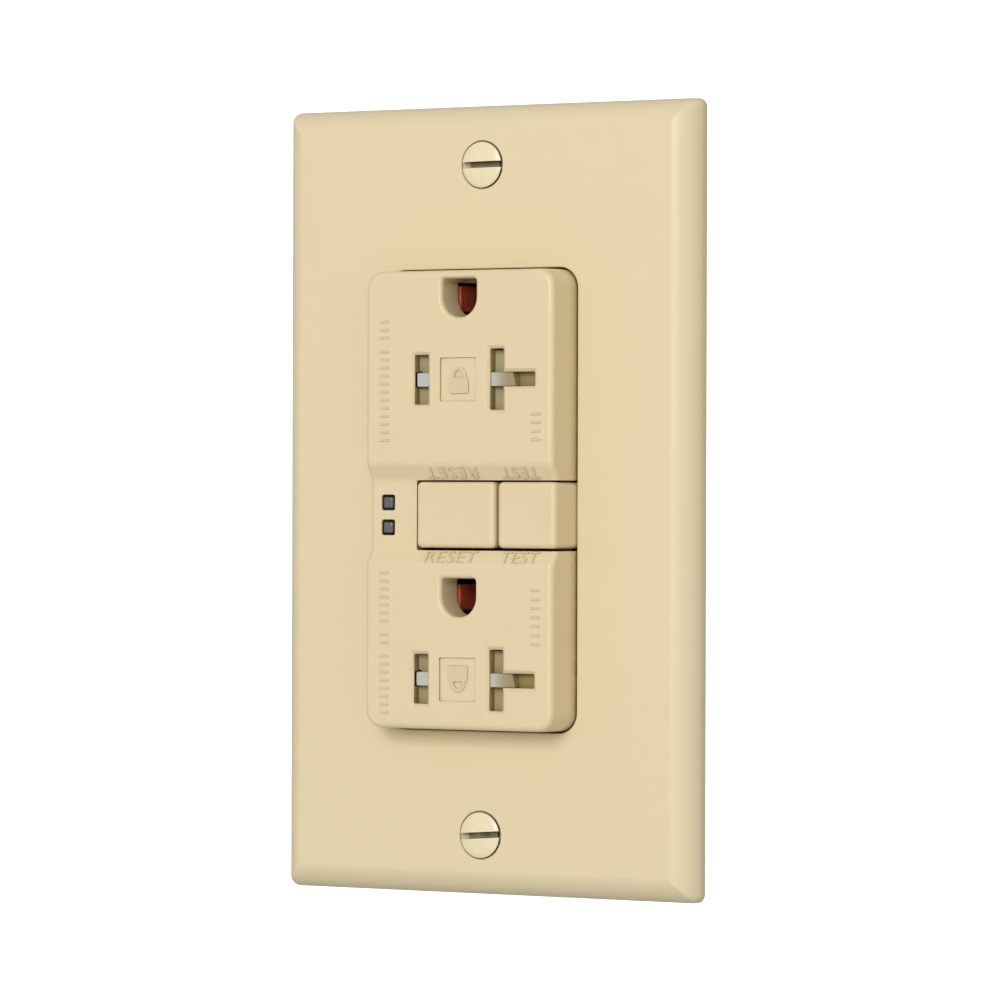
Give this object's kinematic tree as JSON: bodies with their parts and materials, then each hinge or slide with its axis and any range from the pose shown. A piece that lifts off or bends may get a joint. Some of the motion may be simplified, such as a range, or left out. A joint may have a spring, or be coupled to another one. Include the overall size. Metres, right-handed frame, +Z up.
{
  "type": "gfci outlet",
  "caption": "Duplex wall receptacle with ground-fault trip, test and reset buttons, sliding shutters, screw-clamp terminals and a one-gang wall plate.",
  "frame": {"origin": "middle of the wall plate window, in the plane of the wall surface", "axes": "+X right as seen from the front, +Y into the wall box, +Z up"},
  "size_m": [0.0698, 0.0391, 0.1142],
  "materials": {
    "ivory": "satin moulded ivory",
    "ivory_button": "satin moulded ivory",
    "painted_screw": "ivory enamel",
    "grey_plastic": "matt moulded grey",
    "white_plastic": "smooth off-white",
    "black_plastic": "matt black",
    "zinc_steel": "zinc plated",
    "spring_steel": "drawn wire",
    "brass": "stamped brass",
    "nickel": "nickel plated",
    "copper": "dark rolled copper alloy",
    "green_screw": "green dyed steel",
    "board_green": "solder mask",
    "copper_winding": "enamelled wire",
    "ferrite": "coated core",
    "varistor_blue": "dipped epoxy",
    "capacitor_yellow": "moulded case",
    "smoked_lens": "smoked clear"
  },
  "bodies": {
    "receptacle": {"wall_plate": "ivory", "plate_screw_top": "painted_screw", "plate_screw_bottom": "painted_screw", "face_cover": "ivory", "reset_spring": "spring_steel", "light_pipe_upper": "smoked_lens", "light_pipe_lower": "smoked_lens", "led_upper": "white_plastic", "led_lower": "white_plastic", "mounting_strap": "zinc_steel", "box_screw_top": "zinc_steel", "box_screw_bottom": "zinc_steel", "mid_frame": "grey_plastic", "rear_housing": "grey_plastic", "hot_bus": "brass", "neutral_bus": "brass", "line_hot_terminal": "brass", "line_neutral_terminal": "brass", "circuit_board": "board_green", "control_chip": "black_plastic", "surge_varistor": "varistor_blue", "filter_capacitor": "capacitor_yellow", "solenoid_bobbin": "white_plastic", "solenoid_winding": "copper_winding", "solenoid_frame": "zinc_steel", "plunger_spring": "spring_steel", "differential_core": "ferrite", "neutral_core": "ferrite", "core_carrier": "white_plastic", "upper_shutter_retainer": "grey_plastic", "upper_shutter_spring": "spring_steel", "upper_ground_contact": "copper", "housing_screw_upper_left": "zinc_steel", "housing_screw_upper_right": "zinc_steel", "lower_shutter_retainer": "grey_plastic", "lower_shutter_spring": "spring_steel", "lower_ground_contact": "copper", "housing_screw_lower_left": "zinc_steel", "housing_screw_lower_right": "zinc_steel"},
    "reset": {"reset_button": "ivory_button", "reset_pin": "zinc_steel"},
    "test": {"test_button": "ivory_button"},
    "test_leaf": {"test_leaf": "copper"},
    "upper_shutter": {"upper_shutter": "white_plastic"},
    "lower_shutter": {"lower_shutter": "white_plastic"},
    "plunger": {"solenoid_plunger": "zinc_steel"},
    "lifter": {"lifter": "black_plastic"},
    "latch": {"latch_plate": "zinc_steel"},
    "hot_arm": {"hot_contact_arm": "copper"},
    "neutral_arm": {"neutral_contact_arm": "copper"},
    "ground_screw": {"ground_screw": "green_screw"},
    "load_hot_screw": {"load_hot_screw": "brass"},
    "load_hot_clamp": {"load_hot_clamp": "zinc_steel"},
    "load_neutral_screw": {"load_neutral_screw": "nickel"},
    "load_neutral_clamp": {"load_neutral_clamp": "zinc_steel"},
    "line_hot_screw": {"line_hot_screw": "brass"},
    "line_hot_clamp": {"line_hot_clamp": "zinc_steel"},
    "line_neutral_screw": {"line_neutral_screw": "nickel"},
    "line_neutral_clamp": {"line_neutral_clamp": "zinc_steel"}
  },
  "joints": [
    {"name": "reset_press", "type": "slide", "parent": "receptacle", "child": "reset", "axis": [0, 1, 0], "range_m": [0, 0.0025], "stiffness_N_per_m": 500, "deforming": ["reset_spring"]},
    {"name": "test_press", "type": "slide", "parent": "receptacle", "child": "test", "axis": [0, 1, 0], "range_m": [0, 0.0015], "stiffness_N_per_m": 150},
    {"name": "test_leaf_bend", "type": "hinge", "parent": "receptacle", "child": "test_leaf", "pos_m": [0.01145, 0.00955, -0.015], "axis": [-1, 0, 0], "range_deg": [0, 7]},
    {"name": "upper_shutter_slide", "type": "slide", "parent": "receptacle", "child": "upper_shutter", "axis": [-1, 0, 0], "range_m": [0, 0.0044], "stiffness_N_per_m": 100, "deforming": ["upper_shutter_spring"]},
    {"name": "lower_shutter_slide", "type": "slide", "parent": "receptacle", "child": "lower_shutter", "axis": [-1, 0, 0], "range_m": [0, 0.0044], "stiffness_N_per_m": 100, "deforming": ["lower_shutter_spring"]},
    {"name": "plunger_slide", "type": "slide", "parent": "receptacle", "child": "plunger", "axis": [0, 0, -1], "range_m": [0, 0.002], "stiffness_N_per_m": 150, "deforming": ["plunger_spring"]},
    {"name": "lifter_drop", "type": "slide", "parent": "receptacle", "child": "lifter", "axis": [0, 1, 0], "range_m": [0, 0.0016]},
    {"name": "latch_slide", "type": "slide", "parent": "lifter", "child": "latch", "axis": [0, 0, -1], "range_m": [0, 0.002]},
    {"name": "hot_arm_swing", "type": "hinge", "parent": "receptacle", "child": "hot_arm", "pos_m": [-0.008, 0.0111, -0.012], "axis": [-1, 0, 0], "range_deg": [0, 7.5]},
    {"name": "neutral_arm_swing", "type": "hinge", "parent": "receptacle", "child": "neutral_arm", "pos_m": [0.008, 0.0111, -0.012], "axis": [-1, 0, 0], "range_deg": [0, 7.5]},
    {"name": "load_hot_screw_turn", "type": "hinge", "parent": "receptacle", "child": "load_hot_screw", "pos_m": [-0.0183, 0.0143, 0.0173], "axis": [1, 0, 0], "range_deg": [0, 1080]},
    {"name": "load_hot_clamp_slide", "type": "slide", "parent": "receptacle", "child": "load_hot_clamp", "axis": [-1, 0, 0], "range_m": [0, 0.00238]},
    {"name": "load_neutral_screw_turn", "type": "hinge", "parent": "receptacle", "child": "load_neutral_screw", "pos_m": [0.0183, 0.0143, 0.0173], "axis": [-1, 0, 0], "range_deg": [0, 1080]},
    {"name": "load_neutral_clamp_slide", "type": "slide", "parent": "receptacle", "child": "load_neutral_clamp", "axis": [1, 0, 0], "range_m": [0, 0.00238]},
    {"name": "line_hot_screw_turn", "type": "hinge", "parent": "receptacle", "child": "line_hot_screw", "pos_m": [-0.0183, 0.0143, -0.0173], "axis": [1, 0, 0], "range_deg": [0, 1080]},
    {"name": "line_hot_clamp_slide", "type": "slide", "parent": "receptacle", "child": "line_hot_clamp", "axis": [-1, 0, 0], "range_m": [0, 0.00238]},
    {"name": "line_neutral_screw_turn", "type": "hinge", "parent": "receptacle", "child": "line_neutral_screw", "pos_m": [0.0183, 0.0143, -0.0173], "axis": [-1, 0, 0], "range_deg": [0, 1080]},
    {"name": "line_neutral_clamp_slide", "type": "slide", "parent": "receptacle", "child": "line_neutral_clamp", "axis": [1, 0, 0], "range_m": [0, 0.00238]},
    {"name": "ground_screw_turn", "type": "hinge", "parent": "receptacle", "child": "ground_screw", "pos_m": [-0.0147, 0.006, -0.042], "axis": [1, 0, 0], "range_deg": [0, 1080]}
  ],
  "couplings": [
    {"joint": "test_leaf_bend", "follows": "test_press", "rad_per_m": 78},
    {"joint": "latch_slide", "follows": "plunger_slide", "ratio": 1},
    {"joint": "hot_arm_swing", "follows": "lifter_drop", "rad_per_m": 77.5},
    {"joint": "neutral_arm_swing", "follows": "lifter_drop", "rad_per_m": 77.5},
    {"joint": "load_hot_screw_turn", "follows": "load_hot_clamp_slide", "rad_per_m": 7900},
    {"joint": "load_neutral_screw_turn", "follows": "load_neutral_clamp_slide", "rad_per_m": 7900},
    {"joint": "line_hot_screw_turn", "follows": "line_hot_clamp_slide", "rad_per_m": 7900},
    {"joint": "line_neutral_screw_turn", "follows": "line_neutral_clamp_slide", "rad_per_m": 7900}
  ]
}
